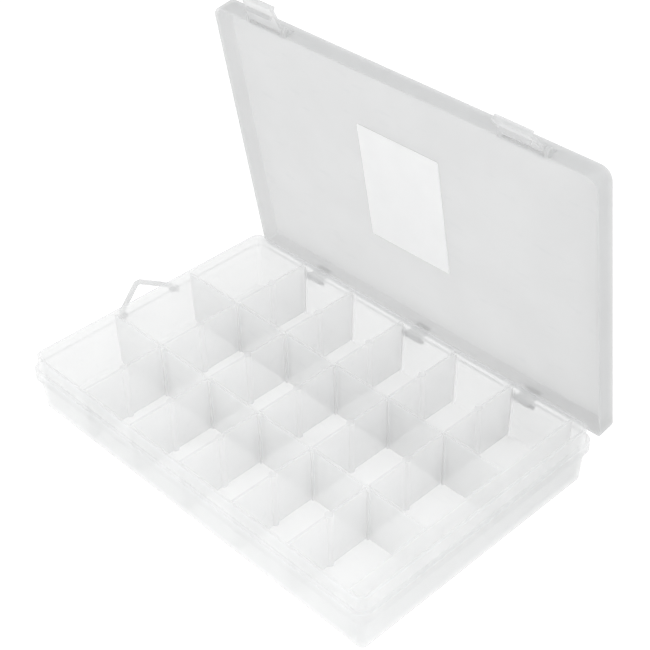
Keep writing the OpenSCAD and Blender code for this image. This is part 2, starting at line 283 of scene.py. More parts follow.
class NodeBench:
    """Wires up the nodes of a material or of the world."""

    def __init__(self, owner: Material | World) -> None:
        """Clears the owner's nodes."""
        owner.use_nodes = True
        self.tree = owner.node_tree
        self.tree.nodes.clear()

    def add(self, kind: str, inputs: dict[str | int, object], **settings: str) -> NodeOutputs:
        """Adds a node, links the inputs given as sockets, sets the rest, and gives its outputs."""
        node = self.tree.nodes.new("ShaderNode" + kind)
        for name, value in settings.items():
            setattr(node, name, value)
        for key, value in inputs.items():
            if isinstance(value, NodeSocket):
                self.tree.links.new(value, node.inputs[key])
            else:
                node.inputs[key].default_value = value
        return node.outputs

    def grain(
        self, scale: float, detail: float, stretch: Sequence[float] = (1, 1, 1)
    ) -> NodeSocket:
        """Adds noise about 0.5, with its scale in cells a metre and its detail in octaves."""
        coords = self.add("TexCoord", {})["Object"]
        spread = self.add("Mapping", {"Vector": coords, "Scale": stretch})["Vector"]
        return self.add("TexNoise", {"Vector": spread, "Scale": scale, "Detail": detail})["Fac"]

    def span(
        self, value: NodeSocket, low: float, high: float, to_low: float, to_high: float
    ) -> NodeSocket:
        """Maps a value from one range to another and clamps it."""
        ranges = {"From Min": low, "From Max": high, "To Min": to_low, "To Max": to_high}
        return self.add("MapRange", {"Value": value, **ranges})["Result"]

    def tint(
        self, share: NodeSocket, first: Sequence[float], second: Sequence[float]
    ) -> NodeSocket:
        """Mixes two fixed colours by the share of the second."""
        inputs = {0: share, 6: (*first, 1.0), 7: (*second, 1.0)}
        return self.add("Mix", inputs, data_type="RGBA")[2]

    def blend(
        self, kind: str, fac: NodeSocket, base: NodeSocket, over: Sequence[float]
    ) -> NodeSocket:
        """Blends a fixed colour over another, by Blender's name of the blend."""
        inputs = {0: fac, 6: base, 7: (*over, 1.0)}
        return self.add("Mix", inputs, data_type="RGBA", blend_type=kind)[2]

    def relief(
        self, height: NodeSocket, depth: float, strength: float, under: NodeSocket | None = None
    ) -> NodeSocket:
        """Adds a fine bump, depth in metres, over the bump whose normal is given."""
        inputs = {"Strength": strength, "Distance": depth, "Height": height}
        if under is not None:
            inputs["Normal"] = under
        return self.add("Bump", inputs)["Normal"]

    def mixed(self, share: float | NodeSocket, first: NodeSocket, second: NodeSocket) -> NodeSocket:
        """Mixes two shaders by the share of the second."""
        return self.add("MixShader", {0: share, 1: first, 2: second})[0]

    def by_ray(self, other: NodeSocket, straight: NodeSocket) -> NodeSocket:
        """Shows one shader to camera, glossy and transmission rays and another to the rest."""
        seen = self.add("LightPath", {})
        total = seen["Is Camera Ray"]
        for name in ("Is Glossy Ray", "Is Transmission Ray"):
            total = self.add("Math", {0: total, 1: seen[name]}, operation="MAXIMUM")[0]
        return self.mixed(total, other, straight)


@dataclass(frozen=True)
class FrostedPlastic:
    """Natural polypropylene with a satin mould texture, milky and half see-through."""

    name: str
    slot: str
    colour: Triple
    milk: float  # Share of the light that scatters through a wall and not back
    clear: float  # Share of the light that passes each face unscattered
    rough: float  # Roughness of the surface at its middle
    texture: float  # Strength of the satin texture

    def build(self) -> Material:
        """Wires up the finish."""
        material = bpy.data.materials.new(self.name)
        bench = NodeBench(material)
        cloud = bench.grain(30.0, 2.0)
        satin = bench.grain(2200.0, 2.0)
        flow = bench.grain(120.0, 3.0, (0.25, 1.0, 1.0))
        scuff = bench.grain(300.0, 5.0, (0.2, 1.0, 0.6))
        milky = tuple(c * 0.975 for c in self.colour)
        colour = bench.tint(bench.span(cloud, 0.35, 0.65, 0.0, 1.0), milky, self.colour)
        worn = bench.span(scuff, 0.60, 0.74, 0.0, 1.0)
        colour = bench.blend("MULTIPLY", worn, colour, (0.965, 0.97, 0.975))
        # Painted highlight: the colour is lightened along sharp convex edges, as if light gathered
        # there.
        edge = bench.add("NewGeometry", {})["Pointiness"]
        edge_highlight = bench.span(edge, 0.50, 0.60, 0.0, 1.0)
        colour = bench.blend("SCREEN", edge_highlight, colour, (0.30, 0.30, 0.30))
        normal = bench.relief(satin, 0.00006, self.texture)
        normal = bench.relief(flow, 0.0002, 0.08, normal)
        rough = bench.span(scuff, 0.35, 0.75, self.rough - 0.05, self.rough + 0.08)
        skin = {"IOR": 1.49, "Specular IOR Level": 0.5, "Roughness": rough}
        body = bench.add("BsdfPrincipled", {"Base Color": colour, "Normal": normal, **skin})[0]
        milk = bench.add("BsdfTranslucent", {"Color": colour, "Normal": normal})[0]
        clear = bench.add("BsdfTransparent", {"Color": (0.985, 0.985, 0.985, 1.0)})[0]
        whole = bench.mixed(self.clear, bench.mixed(self.milk, body, milk), clear)
        bench.add("OutputMaterial", {"Surface": whole})
        return material


@dataclass(frozen=True)
class LabelPaper:
    """Blank coated paper with a faint fibre grain and a slightly mottled white."""

    name: str
    slot: str
    colour: Triple
    let_through: float  # Share of the light that glows through the sheet

    def build(self) -> Material:
        """Wires up the finish."""
        material = bpy.data.materials.new(self.name)
        bench = NodeBench(material)
        fibre = bench.grain(900.0, 5.0, (1.0, 0.35, 0.35))
        mottle = bench.grain(70.0, 3.0)
        darker = tuple(c * 0.98 for c in self.colour)
        colour = bench.tint(bench.span(mottle, 0.3, 0.7, 0.0, 1.0), darker, self.colour)
        skin = {
            "Specular IOR Level": 0.25,
            "Base Color": colour,
            "Roughness": bench.span(fibre, 0.3, 0.7, 0.62, 0.78),
            "Normal": bench.relief(fibre, 0.00005, 0.25),
        }
        body = bench.add("BsdfPrincipled", skin)[0]
        glow = bench.add("BsdfTranslucent", {"Color": colour})[0]
        whole = bench.mixed(self.let_through, body, glow)
        bench.add("OutputMaterial", {"Surface": whole})
        return material


TRAY_PLASTIC = FrostedPlastic(
    name="frosted tray plastic",
    slot="tray_plastic",
    colour=(0.965, 0.968, 0.968),
    milk=0.70,
    clear=0.64,
    rough=0.38,
    texture=0.25,
)
DIVIDER_PLASTIC = FrostedPlastic(
    name="frosted divider plastic",
    slot="divider_plastic",
    colour=(0.965, 0.968, 0.968),
    milk=0.70,
    clear=0.68,
    rough=0.40,
    texture=0.22,
)
# Painted shade: the lid is the same plastic as the tray, its colour darkened from 0.965 to 0.79 to
# stand for the dimmer light on the lid.
SHADE_PAINTED_LID_PLASTIC = FrostedPlastic(
    name="frosted lid plastic",
    slot="lid_plastic",
    colour=(0.79, 0.793, 0.793),
    milk=0.58,
    clear=0.38,
    rough=0.34,
    texture=0.18,
)
# Painted shade: the latches and the hang loop take the lid's darkened colour, not the tray's.
SHADE_PAINTED_LATCH_PLASTIC = FrostedPlastic(
    name="frosted latch plastic",
    slot="latch_plastic",
    colour=(0.79, 0.793, 0.793),
    milk=0.60,
    clear=0.46,
    rough=0.36,
    texture=0.18,
)
PAPER = LabelPaper(
    name="blank label paper",
    slot="label_paper",
    colour=(0.93, 0.93, 0.927),
    let_through=0.2,
)
FINISHES = (TRAY_PLASTIC, DIVIDER_PLASTIC, SHADE_PAINTED_LID_PLASTIC, SHADE_PAINTED_LATCH_PLASTIC, PAPER)


# Putting a piece in the scene.


class Shelf:
    """Turns meshes into pieces with a finish, a body and the node they stand for."""

    def __init__(self, finishes: Sequence[FrostedPlastic | LabelPaper]) -> None:
        """Builds each finish once."""
        self.materials = {finish.name: finish.build() for finish in finishes}

    def place(self, bm: BMesh, node: str, body: str, finish: FrostedPlastic | LabelPaper) -> None:
        """Makes a piece from a mesh."""
        mesh = bpy.data.meshes.new(node + "_shape")
        bm.to_mesh(mesh)
        bm.free()
        for polygon in mesh.polygons:
            polygon.use_smooth = True
        mesh.set_sharp_from_angle(angle=SHARP)
        piece = bpy.data.objects.new(node + "_piece", mesh)
        bpy.context.scene.collection.objects.link(piece)
        weighted = piece.modifiers.new("even shading", "WEIGHTED_NORMAL")
        weighted.keep_sharp = True
        weighted.weight = 80
        mesh.materials.append(self.materials[finish.name])
        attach(piece, body)
        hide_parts(node)
        log.info("%s: %d faces on body %s", piece.name, len(mesh.polygons), body)


# The box.


@dataclass
class BoxSizes:
    """Sizes that the tray, its walls and the lid share, in metres."""

    width: float = 273 * MM  # Over the flange
    depth: float = 181.5 * MM  # Over the flange
    rim: float = 39.5 * MM  # Height of the tray's rim
    flange_top: float = 30.5 * MM  # Height of the flange's upper face
    flange_height: float = 6.5 * MM
    neck_inset: float = 2.4 * MM  # How far the rim is set in from the flange
    under_inset: float = 2.6 * MM  # How far the wall below the flange is set in
    foot_inset: float = 4 * MM  # How far the wall's foot is set in
    corner: float = 8 * MM  # Radius of the flange's upright corners
    foot_radius: float = 3.5 * MM  # Rounding of the lower edge
    wall: float = 1.8 * MM
    floor: float = 1.8 * MM
    row_y: float = 29.5 * MM  # Distance of the long walls from the middle
    first_column: float = -88.3 * MM  # X of the first cross divider in a row
    column_pitch: float = 42.1 * MM  # Distance from one cross divider to the next
    inner: float = 1.6 * MM  # Thickness of the long walls and the dividers
    inner_top: float = 38.3 * MM  # Height of their upper edge
    rib: float = 1.2 * MM  # Width and depth of a guide rib
    gap: float = 0.3 * MM  # Play between parts that move
    hinge_y: float = 90.9 * MM
    hinge_z: float = 26 * MM
    hinge_x: tuple[float, ...] = (-85 * MM, 0.0, 85 * MM)  # X of the three knuckles
    knuckle: float = 2 * MM
    knuckle_width: float = 10 * MM
    pin: float = 1 * MM
    bore: float = 1.05 * MM  # Takes the pin
    ear: float = 3 * MM
    lid_open: float = 80.4  # Angle in degrees between the shut and the open lid

    @property
    def columns(self) -> list[float]:
        """X of the five cross dividers in a row."""
        return [self.first_column + k * self.column_pitch for k in range(5)]

    @property
    def end_column(self) -> float:
        """X of the wall beside the end channel."""
        return self.first_column + 5 * self.column_pitch

    @property
    def inner_foot(self) -> float:
        """Inner wall's distance from a corner centre, at the floor."""
        return self.corner - self.foot_inset - self.wall

    @property
    def inner_rim(self) -> float:
        """Inner wall's distance from a corner centre, at the rim."""
        return self.corner - self.neck_inset - self.wall

    def inside(self, half: float, z: float) -> float:
        """Returns the inner face's distance from the middle at height z."""
        share = (z - self.floor) / (self.rim - self.floor)
        return half - self.corner + self.inner_foot + (self.inner_rim - self.inner_foot) * share


@dataclass
class Tray:
    """The moulded tray with its flange, guide ribs, hinge ears and loop ears."""

    sizes: BoxSizes
    corner_steps: int = 10  # Faces round an upright corner
    rib_top: float = 37.3 * MM  # Height of the guide ribs
    rib_slope: float = 0.9 * MM  # Height over which a rib runs out into the wall
    step: float = 0.02 * MM  # Half the length over which a rib or a notch begins
    rim_edge: float = 0.55 * MM
    flange_bead: float = 0.5 * MM  # Rounding of the flange's edges
    neck_fillet: float = 0.4 * MM  # Rounding where the neck meets the flange
    under_bevel: float = 0.3 * MM  # Bevel where the flange meets the wall below
    loop_x: float = -138.5 * MM
    loop_z: float = 28 * MM
    loop_ear_y: float = 21.7 * MM  # Distance of the loop's ears from the middle
    loop_ear: float = 2 * MM
    loop_ear_radius: float = 1.9 * MM  # Rounding of a loop ear's end
    loop_ear_rise: float = 2.2 * MM  # Height of its root above the pivot
    loop_ear_drop: float = 2.4 * MM  # Depth of its root below the pivot
    loop_bore: float = 0.95 * MM  # Radius of its bore

    def section(self) -> BMesh:
        """Draws the wall's section from the inner floor over the rim to the underside."""
        s = self.sizes
        lean_in = math.atan2(s.inner_rim - s.inner_foot, s.rim - s.floor)
        r_in = s.foot_radius - s.wall
        cx_in = s.inner_foot + math.tan(lean_in) * r_in - r_in / math.cos(lean_in)
        pen = Pen(cx_in, s.floor).arc(cx_in, s.floor + r_in, 90.0 - math.degrees(lean_in), 6)
        hollow = s.width / 2 - s.corner
        for z in (self.rib_top, self.rib_top + self.rib_slope):
            pen.line(s.inside(s.width / 2, z) - hollow, z)
        edge, bead, fillet = self.rim_edge, self.flange_bead, self.neck_fillet
        neck = s.corner - s.neck_inset
        low, lip = s.flange_top - s.flange_height, s.corner - bead
        pen.line(s.inner_rim, s.rim - edge).arc(s.inner_rim + edge, s.rim - edge, -90.0, 4)
        pen.line(neck - edge, s.rim).arc(neck - edge, s.rim - edge, -90.0, 4)
        pen.line(neck, s.flange_top + fillet).arc(neck + fillet, s.flange_top + fillet, 90.0, 3)
        pen.line(lip, s.flange_top).arc(lip, s.flange_top - bead, -90.0, 4)
        pen.line(s.corner, low + bead).arc(lip, low + bead, -90.0, 4)
        under, foot = s.corner - s.under_inset, s.corner - s.foot_inset
        pen.line(under + self.under_bevel, low).line(under, low - self.under_bevel)
        lean = math.atan2(under - foot, low)
        r = s.foot_radius
        cx = foot + math.tan(lean) * r - r / math.cos(lean)
        pen.line(cx + r * math.cos(lean), r - r * math.sin(lean))
        return pen.arc(cx, r, -(90.0 - math.degrees(lean)), 8).bm

    def outs(self, shape: Sequence[Pair], ribbed: bool, notched: bool) -> list[float]:
        """Works out the section's outward distances, also where a rib or a notch is."""
        s = self.sizes
        low = s.flange_top - s.flange_height
        under, neck = s.corner - s.under_inset, s.corner - s.neck_inset
        top = max(range(len(shape)), key=lambda i: shape[i][1])
        result = []
        for i, (out, up) in enumerate(shape):
            if ribbed and i < top and up < self.rib_top + NEAR:
                out -= s.rib
            if notched and i > top and up > low - NEAR:
                out = min(out, under if up < s.flange_top + NEAR else neck)
            result.append(out)
        return result

    def straight(
        self, sweep: Sweep, start: Vector, way: Vector, length: float, marks: Sequence[Mark]
    ) -> None:
        """Runs the section along one side; the marks are where a rib or a notch begins or ends."""
        state = {"rib": False, "notch": False}
        for at, what in sorted(marks):
            before = self.outs(sweep.shape, state["rib"], state["notch"])
            sweep.station(start + way * (at - self.step), before)
            state[what] = not state[what]
            after = self.outs(sweep.shape, state["rib"], state["notch"])
            sweep.station(start + way * (at + self.step), after)
        sweep.station(start + way * length, self.outs(sweep.shape, False, False))

    def rib_marks(self, forward: bool) -> list[Mark]:
        """Lists where the guide ribs begin and end on a long side, swept forward or back."""
        s = self.sizes
        half = s.width / 2 - s.corner
        marks = []
        for x in s.columns:
            for sign in (-1, 1):
                middle = x + sign * (s.inner / 2 + s.gap + s.rib / 2)
                for end in (-1, 1):
                    edge = middle + end * s.rib / 2
                    marks.append((half + edge if forward else half - edge, "rib"))
        return marks

    def shell(self) -> BMesh:
        """Sweeps the section round the tray."""
        s = self.sizes
        cx, cy = s.width / 2 - s.corner, s.depth / 2 - s.corner
        corners = [Vector((x, y, 0)) for x, y in ((cx, cy), (-cx, cy), (-cx, -cy), (cx, -cy))]
        sweep = Sweep(self.section(), corners[3], Vector((1, 0, 0)))
        reach = s.knuckle_width / 2 + s.gap
        notches = [(cx - x + end * reach, "notch") for x in s.hinge_x for end in (-1, 1)]
        marks = ((), self.rib_marks(False) + notches, (), self.rib_marks(True))
        ways = (Vector((0, 1, 0)), Vector((-1, 0, 0)), Vector((0, -1, 0)), Vector((1, 0, 0)))
        for side, way in enumerate(ways):
            length = 2 * cx if side % 2 else 2 * cy
            self.straight(sweep, corners[side - 1], way, length, marks[side])
            sweep.turn(corners[side], self.corner_steps)
        return sweep.finish()

    def one_hinge_ear(self) -> BMesh:
        """Makes one hinge ear, its thickness along Z."""
        s = self.sizes
        z, r = s.hinge_z, s.knuckle
        return bored_ear(s.depth / 2 - ROOT, (z - r, z + r), (s.hinge_y, z), r, s.bore, s.ear)

    def one_loop_ear(self) -> BMesh:
        """Makes one ear of the hang loop, its thickness along Z."""
        x, z = self.loop_x, self.loop_z
        heights = (z + self.loop_ear_rise, z - self.loop_ear_drop)
        root = -self.sizes.width / 2 + ROOT
        return bored_ear(root, heights, (x, z), self.loop_ear_radius, self.loop_bore, self.loop_ear)

    def build(self, shelf: Shelf) -> None:
        """Builds the tray and puts it on the shelf."""
        s = self.sizes
        bm = self.shell()
        reach = s.knuckle_width / 2 + s.gap
        for x in s.hinge_x:
            for start in (x - reach - s.ear, x + reach):
                merge_into(bm, self.one_hinge_ear(), Matrix.Translation((start, 0, 0)) @ ACROSS)
        for y in (-self.loop_ear_y, self.loop_ear_y):
            lay = Matrix.Translation((0, y + self.loop_ear / 2, 0)) @ ALONG_Y
            merge_into(bm, self.one_loop_ear(), lay)
        shelf.place(bm, "tray", "tray", TRAY_PLASTIC)


@dataclass
class InnerWalls:
    """The walls moulded in the tray: two along it and one beside the end channel."""

    sizes: BoxSizes
    sink: float = 0.05 * MM  # How deep a wall's ends and foot go into the tray
    foot_cut: float = 1.9 * MM  # Bevel that clears the tray's rounded foot
    rib_drop: float = 1 * MM  # How far the guide ribs stay below a wall's upper edge

    def rib_spans(self) -> list[Pair]:
        """Lists each guide rib's start and end along a long wall."""
        s = self.sizes
        reach = s.inner / 2 + s.gap + s.rib / 2
        middles = [x + sign * reach for x in s.columns for sign in (-1, 1)]
        return [(middle - s.rib / 2, middle + s.rib / 2) for middle in middles]

    def row_outline(self) -> BMesh:
        """Draws a long wall's plan with the guide ribs on both its faces."""
        s = self.sizes
        half = s.inner / 2
        left = -s.inside(s.width / 2, s.floor) - self.sink
        right = s.end_column - half + self.sink
        pen = Pen(left, -half)
        ribs = self.rib_spans()
        for a, b in ribs:
            pen.line(a, -half).line(a, -half - s.rib).line(b, -half - s.rib).line(b, -half)
        pen.line(right, -half).line(right, half)
        for a, b in reversed(ribs):
            pen.line(b, half).line(b, half + s.rib).line(a, half + s.rib).line(a, half)
        return pen.line(left, half).close()

    def row_wall(self) -> BMesh:
        """Makes a long wall on the line y = 0."""
        s = self.sizes
        bm = self.row_outline()
        raise_outline(bm, s.inner_top - s.floor + self.sink, s.floor - self.sink)
        self.lean(bm, 0, s.width / 2, -1)
        for vert in bm.verts:
            if vert.co.z > s.inner_top - NEAR and abs(vert.co.y) > s.inner / 2 + NEAR:
                vert.co.z -= self.rib_drop
        self.cut_foot(bm, 0, -1)
        soften(bm, SHEET_EDGE)
        return bm

    def end_wall(self) -> BMesh:
        """Makes the wall beside the end channel."""
        s = self.sizes
        left, right = s.end_column - s.inner / 2, s.end_column + s.inner / 2
        y = s.inside(s.depth / 2, s.floor) + self.sink
        bm = Pen(left, -y).line(right, -y).line(right, y).line(left, y).close()
        raise_outline(bm, s.inner_top - s.floor + self.sink, s.floor - self.sink)
        for sign in (-1, 1):
            self.lean(bm, 1, s.depth / 2, sign)
            self.cut_foot(bm, 1, sign)
        soften(bm, SHEET_EDGE)
        return bm

    def lean(self, bm: BMesh, axis: int, half: float, sign: int) -> None:
        """Leans one end of a wall outwards as the tray's side does."""
        s = self.sizes
        end = max(v.co[axis] * sign for v in bm.verts)
        for vert in bm.verts:
            if vert.co[axis] * sign > end - NEAR and vert.co.z > s.inner_top - NEAR:
                vert.co[axis] = sign * (s.inside(half, s.inner_top) + self.sink)

    def cut_foot(self, bm: BMesh, axis: int, sign: int) -> None:
        """Takes the lower corner off one end, clear of the tray's rounded foot."""
        low = min(v.co.z for v in bm.verts)
        feet = [v for v in bm.verts if v.co.z < low + NEAR]
        end = max(v.co[axis] * sign for v in feet)
        corner = {v for v in feet if v.co[axis] * sign > end - NEAR}
        edges = [e for e in bm.edges if e.verts[0] in corner and e.verts[1] in corner]
        cut_edges(bm, edges, self.foot_cut, 1)

    def build(self, shelf: Shelf) -> None:
        """Builds the three walls and puts them on the shelf."""
        for name, y in (("row_wall_back", self.sizes.row_y), ("row_wall_front", -self.sizes.row_y)):
            bm = self.row_wall()
            bmesh.ops.translate(bm, verts=bm.verts[:], vec=(0, y, 0))
            shelf.place(bm, name, "tray", TRAY_PLASTIC)
        shelf.place(self.end_wall(), "end_wall", "tray", TRAY_PLASTIC)


@dataclass
class CrossDivider:
    """A divider that lifts out, with an upright bead at its middle."""

    sizes: BoxSizes
    bead: float = 2.4 * MM
    foot_cut: float = 2 * MM  # Rounding that clears the tray's rounded foot

    def plan(self, y0: float, y1: float) -> BMesh:
        """Draws the divider from above, its middle plane on x = 0."""
        half, middle = self.sizes.inner / 2, (y0 + y1) / 2
        reach = math.sqrt(self.bead**2 - half**2)
        swell = 2 * math.degrees(math.atan2(reach, half))
        pen = Pen(half, y0)
        pen.line(half, middle - reach).arc(0, middle, swell, 8)
        pen.line(half, y1).line(-half, y1)
        pen.line(-half, middle + reach).arc(0, middle, swell, 8)
        return pen.line(-half, y0).close()

    def build(self, shelf: Shelf, row: Row, number: int) -> None:
        """Builds one divider, numbered from 1 at the left."""
        s = self.sizes
        low = s.floor + s.gap
        start = s.row_y - s.inner / 2 - s.gap
        if row is Row.MIDDLE:
            y0, y1 = -start, start
        else:
            y0, y1 = s.row_y + s.inner / 2 + s.gap, s.inside(s.depth / 2, low) - s.gap
        bm = self.plan(y0, y1)
        raise_outline(bm, s.inner_top - low, low)
        if row is not Row.MIDDLE:
            for vert in bm.verts:
                if vert.co.y > y1 - NEAR and vert.co.z > s.inner_top - NEAR:
                    vert.co.y = s.inside(s.depth / 2, s.inner_top) - s.gap
            foot = {v for v in bm.verts if v.co.y > y1 - NEAR and v.co.z < low + NEAR}
            edges = [e for e in bm.edges if e.verts[0] in foot and e.verts[1] in foot]
            cut_edges(bm, edges, self.foot_cut, 4)
        soften(bm, SHEET_EDGE)
        if row is Row.FRONT:
            half_turn = Matrix.Rotation(math.pi, 3, "Z")
            bmesh.ops.rotate(bm, verts=bm.verts[:], cent=(0, 0, 0), matrix=half_turn)
        bmesh.ops.translate(bm, verts=bm.verts[:], vec=(s.columns[number - 1], 0, 0))
        name = f"divider_{row.value}_{number}"
        shelf.place(bm, name, name, DIVIDER_PLASTIC)


@dataclass
class Lid:
    """The hinged lid with its knuckles, latch ears and blank label."""

    sizes: BoxSizes
    inset: float = 0.4 * MM  # How far the lid is set in from the flange
    top: float = 43 * MM  # Height of the shut lid's upper face
    low: float = 30.8 * MM  # Height of the shut lid's lower edge
    thick: float = 1.6 * MM  # Thickness of the plate and the skirt
    rear_corner: float = 2.9 * MM  # Radius of the two upright corners at the hinge
    edge: float = 2 * MM  # Rounding of the plate's outer edge
    inner_edge: float = 0.8 * MM  # Rounding where the plate meets the skirt inside
    skirt_bead: float = 0.45 * MM  # Rounding of the skirt's lower edge
    arm_taper: float = 0.7 * MM  # How much a hinge arm narrows at its waist
    arm_waist: float = 4 * MM  # Height of that waist above the skirt's edge
    arm_rise: float = 6.6 * MM  # Height of an arm's root above the skirt's edge
    arm_foot: float = 0.3 * MM  # Height of its lower end there
    latch_x: float = 91 * MM  # Distance of the latches from the middle
    latch_y: float = -93 * MM  # Y of the latches' pivot on the shut lid
    latch_z: float = 33 * MM  # Z of the latches' pivot on the shut lid
    latch_width: float = 26 * MM
    latch_ear: float = 2.4 * MM
    latch_ear_rise: float = 5.4 * MM  # Height of its root above the pivot
    latch_ease: float = 0.1 * MM  # How much larger it is round than a knuckle
    label: Pair = (61 * MM, 81 * MM)  # Width and depth of the label
    label_x: float = -9 * MM  # X of the label's middle
    label_from_hinge: float = 51 * MM  # Distance of the label from the lid's rear edge
    label_corner: float = 1.2 * MM
    label_thick: float = 0.25 * MM
    label_gap: float = 0.05 * MM  # Glue between the label and the plate

    @property
    def half(self) -> Pair:
        """Half the lid's width and depth."""
        return self.sizes.width / 2 - self.inset, self.sizes.depth / 2 - self.inset

    def opened(self) -> Matrix:
        """Works out the turn about the hinge that opens the shut lid."""
        s = self.sizes
        axis = Matrix.Translation((0, s.hinge_y, s.hinge_z))
        return axis @ Matrix.Rotation(-math.radians(s.lid_open), 4, "X") @ axis.inverted()

    def section(self) -> BMesh:
        """Draws the lid's edge from the plate's inner face round the skirt to its outer face."""
        inner, bead, t = self.inner_edge, self.skirt_bead, self.thick
        pen = Pen(-t - inner, self.top - t).arc(-t - inner, self.top - t - inner, -90.0, 4)
        pen.line(-t, self.low + bead).arc(-t + bead, self.low + bead, 90.0, 3)
        pen.line(-bead, self.low).arc(-bead, self.low + bead, 90.0, 3)
        pen.line(0, self.top - self.edge)
        return pen.arc(-self.edge, self.top - self.edge, 90.0, 7).bm

    def shell(self) -> BMesh:
        """Sweeps the edge round the shut lid."""
        hx, hy = self.half
        front = self.sizes.corner - self.inset
        rear = self.rear_corner
        sweep = Sweep(self.section(), Vector((hx, -hy + front, 0)), Vector((1, 0, 0)))
        outs = [out for out, _ in sweep.shape]
        for start, centre, steps in (
            ((hx, hy - rear, 0), (hx - rear, hy - rear, 0), 6),
            ((-hx + rear, hy, 0), (-hx + rear, hy - rear, 0), 6),
            ((-hx, -hy + front, 0), (-hx + front, -hy + front, 0), 10),
            ((hx - front, -hy, 0), (hx - front, -hy + front, 0), 10),
        ):
            sweep.station(Vector(start), outs)
            sweep.turn(Vector(centre), steps)
        return sweep.finish()

    def arm(self) -> BMesh:
        """Makes one hinge arm with its knuckle, its width along Z."""
        s = self.sizes
        root = self.half[1] - ROOT
        pen = Pen(s.hinge_y + s.knuckle, s.hinge_z)
        pen.line(s.hinge_y + s.knuckle - self.arm_taper, self.low + self.arm_waist)
        pen.line(root, self.low + self.arm_rise).line(root, self.low + self.arm_foot)
        pen.line(s.hinge_y - s.knuckle, s.hinge_z)
        bm = pen.arc(s.hinge_y, s.hinge_z, 180.0, 12).close()
        raise_outline(bm, s.knuckle_width)
        soften(bm, 0.3 * MM, 50.0)
        return bm

    def one_latch_ear(self) -> BMesh:
        """Makes one latch ear, its thickness along Z."""
        s, z = self.sizes, self.latch_z
        r = s.knuckle + self.latch_ease
        heights = (z + self.latch_ear_rise, z - r)
        root = -self.half[1] + ROOT
        return bored_ear(root, heights, (self.latch_y, z), r, s.bore, self.latch_ear)

    def blank_label(self) -> BMesh:
        """Makes the label on the shut lid's inner face, its corners rounded."""
        _, hy = self.half
        w, h = self.label
        x0, y0, r = self.label_x - w / 2, hy - self.label_from_hinge - h, self.label_corner
        pen = Pen(x0 + r, y0)
        pen.line(x0 + w - r, y0).arc(x0 + w - r, y0 + r, 90.0, 4)
        pen.line(x0 + w, y0 + h - r).arc(x0 + w - r, y0 + h - r, 90.0, 4)
        pen.line(x0 + r, y0 + h).arc(x0 + r, y0 + h - r, 90.0, 4)
        bm = pen.line(x0, y0 + r).arc(x0 + r, y0 + r, 90.0, 4).close()
        raise_outline(bm, self.label_thick)
        soften(bm, 0.06 * MM, 50.0, 1)
        low = self.top - self.thick - self.label_gap - self.label_thick
        bmesh.ops.translate(bm, verts=bm.verts[:], vec=(0, 0, low))
        return bm

    def build(self, shelf: Shelf) -> None:
        """Builds the lid and its label, open, and puts them on the shelf."""
        s = self.sizes
        bm = self.shell()
        length = s.knuckle_width + 2 * (s.gap + s.ear)
        for x in s.hinge_x:
            merge_into(bm, self.arm(), Matrix.Translation((x - s.knuckle_width / 2, 0, 0)) @ ACROSS)
            pin_end = Matrix.Translation((x - length / 2, s.hinge_y, s.hinge_z))
            merge_into(bm, rod(s.pin, length), pin_end @ ALONG_X)
        reach = self.latch_width / 2 + s.gap
        for x in (-self.latch_x, self.latch_x):
            for start in (x - reach - self.latch_ear, x + reach):
                merge_into(bm, self.one_latch_ear(), Matrix.Translation((start, 0, 0)) @ ACROSS)
        move(bm, self.opened())
        shelf.place(bm, "lid", "lid", SHADE_PAINTED_LID_PLASTIC)
        bm = self.blank_label()
        move(bm, self.opened())
        shelf.place(bm, "lid_label", "lid", PAPER)


